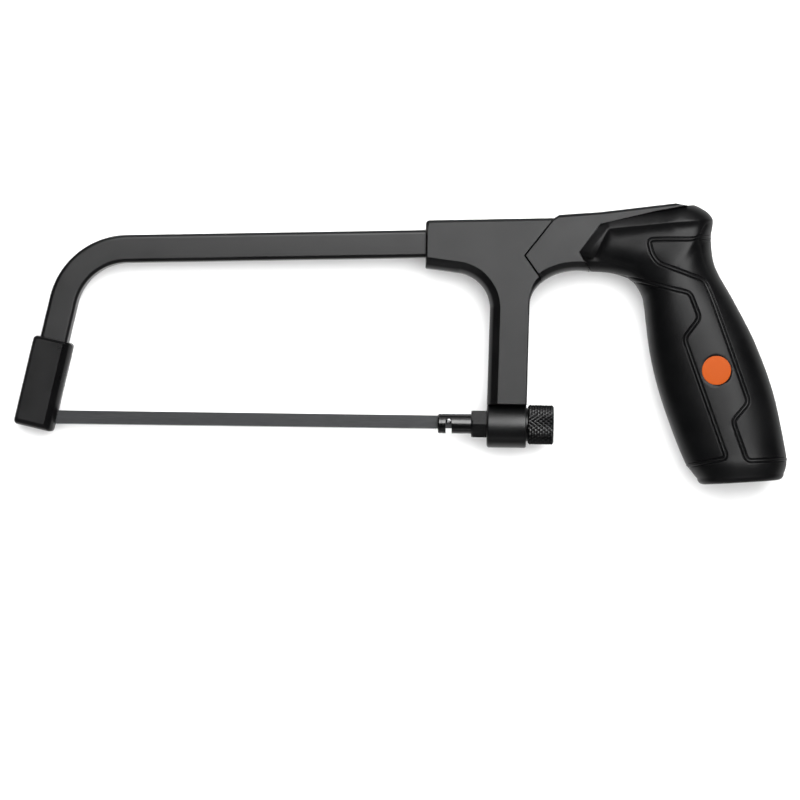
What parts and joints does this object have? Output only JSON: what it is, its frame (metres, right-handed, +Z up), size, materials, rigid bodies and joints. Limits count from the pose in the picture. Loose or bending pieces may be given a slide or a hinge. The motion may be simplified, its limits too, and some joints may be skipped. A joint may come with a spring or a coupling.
{
  "type": "junior hacksaw",
  "caption": "Small hacksaw with a pistol-grip handle, a bent tube frame, a pinned fine-tooth blade and a screw tensioner with a knurled nut.",
  "frame": {"origin": "middle of the saw's footprint, on the bench it lies on", "axes": "+X from the nose cap back to the handle along the blade, +Y in the saw's plane from the teeth towards the frame tube, +Z up off the bench; the saw lies on its left side, on the nose cap and the handle, so its own plane tips by 1.8 degrees about Y"},
  "size_m": [0.2782, 0.1006, 0.0294],
  "materials": {
    "casting_coat": "satin black powder coat over a die casting, fine grain",
    "tube_paint": "smooth satin black paint on a steel tube",
    "cap_coat": "smooth satin black coat over a casting",
    "blade_steel": "dark grey tempered blade steel",
    "pin_steel": "plain steel pin ends",
    "black_oxide": "black oxide on turned steel, light oil sheen",
    "washer_steel": "blackened steel washer",
    "screw_steel": "zinc plated screw",
    "grub_steel": "black oxide socket screw",
    "collar_nylon": "satin black glass filled nylon, fine grain",
    "shell_nylon": "dark moulded nylon, soft sheen",
    "pad_rubber": "soft black moulded rubber",
    "plug_plastic": "black moulded plug",
    "badge_orange": "plain orange plastic"
  },
  "bodies": {
    "frame": {"body_casting": "casting_coat", "frame_tube": "tube_paint", "tube_set_screws": "grub_steel", "nose_cap": "cap_coat", "nose_set_screw": "grub_steel", "thrust_washer": "washer_steel", "handle_collar": "collar_nylon", "handle_shell_right": "shell_nylon", "handle_shell_left": "shell_nylon", "rear_pad_right": "pad_rubber", "rear_pad_left": "pad_rubber", "front_pad_right": "pad_rubber", "front_pad_left": "pad_rubber", "handle_screws": "screw_steel", "butt_plug": "plug_plastic", "badge_disc": "badge_orange"},
    "stud": {"tension_stud": "black_oxide"},
    "nut": {"thumb_nut": "black_oxide"},
    "blade": {"blade": "blade_steel", "blade_pins": "pin_steel"}
  },
  "joints": [
    {"name": "nut_turn", "type": "hinge", "parent": "frame", "child": "nut", "pos_m": [0.05074, -0.03005, 0.01251], "axis": [0.9995, 0, 0.031], "range_deg": [0, 1350]},
    {"name": "stud_slide", "type": "slide", "parent": "frame", "child": "stud", "axis": [-0.9995, 0, -0.031], "range_m": [0, 0.003]},
    {"name": "blade_swing", "type": "hinge", "parent": "stud", "child": "blade", "pos_m": [-0.13227, -0.02905, 0.00684], "axis": [0.031, 0, -0.9995], "range_deg": [0, 12]}
  ],
  "couplings": [
    {"joint": "nut_turn", "follows": "stud_slide", "rad_per_m": 7854}
  ]
}
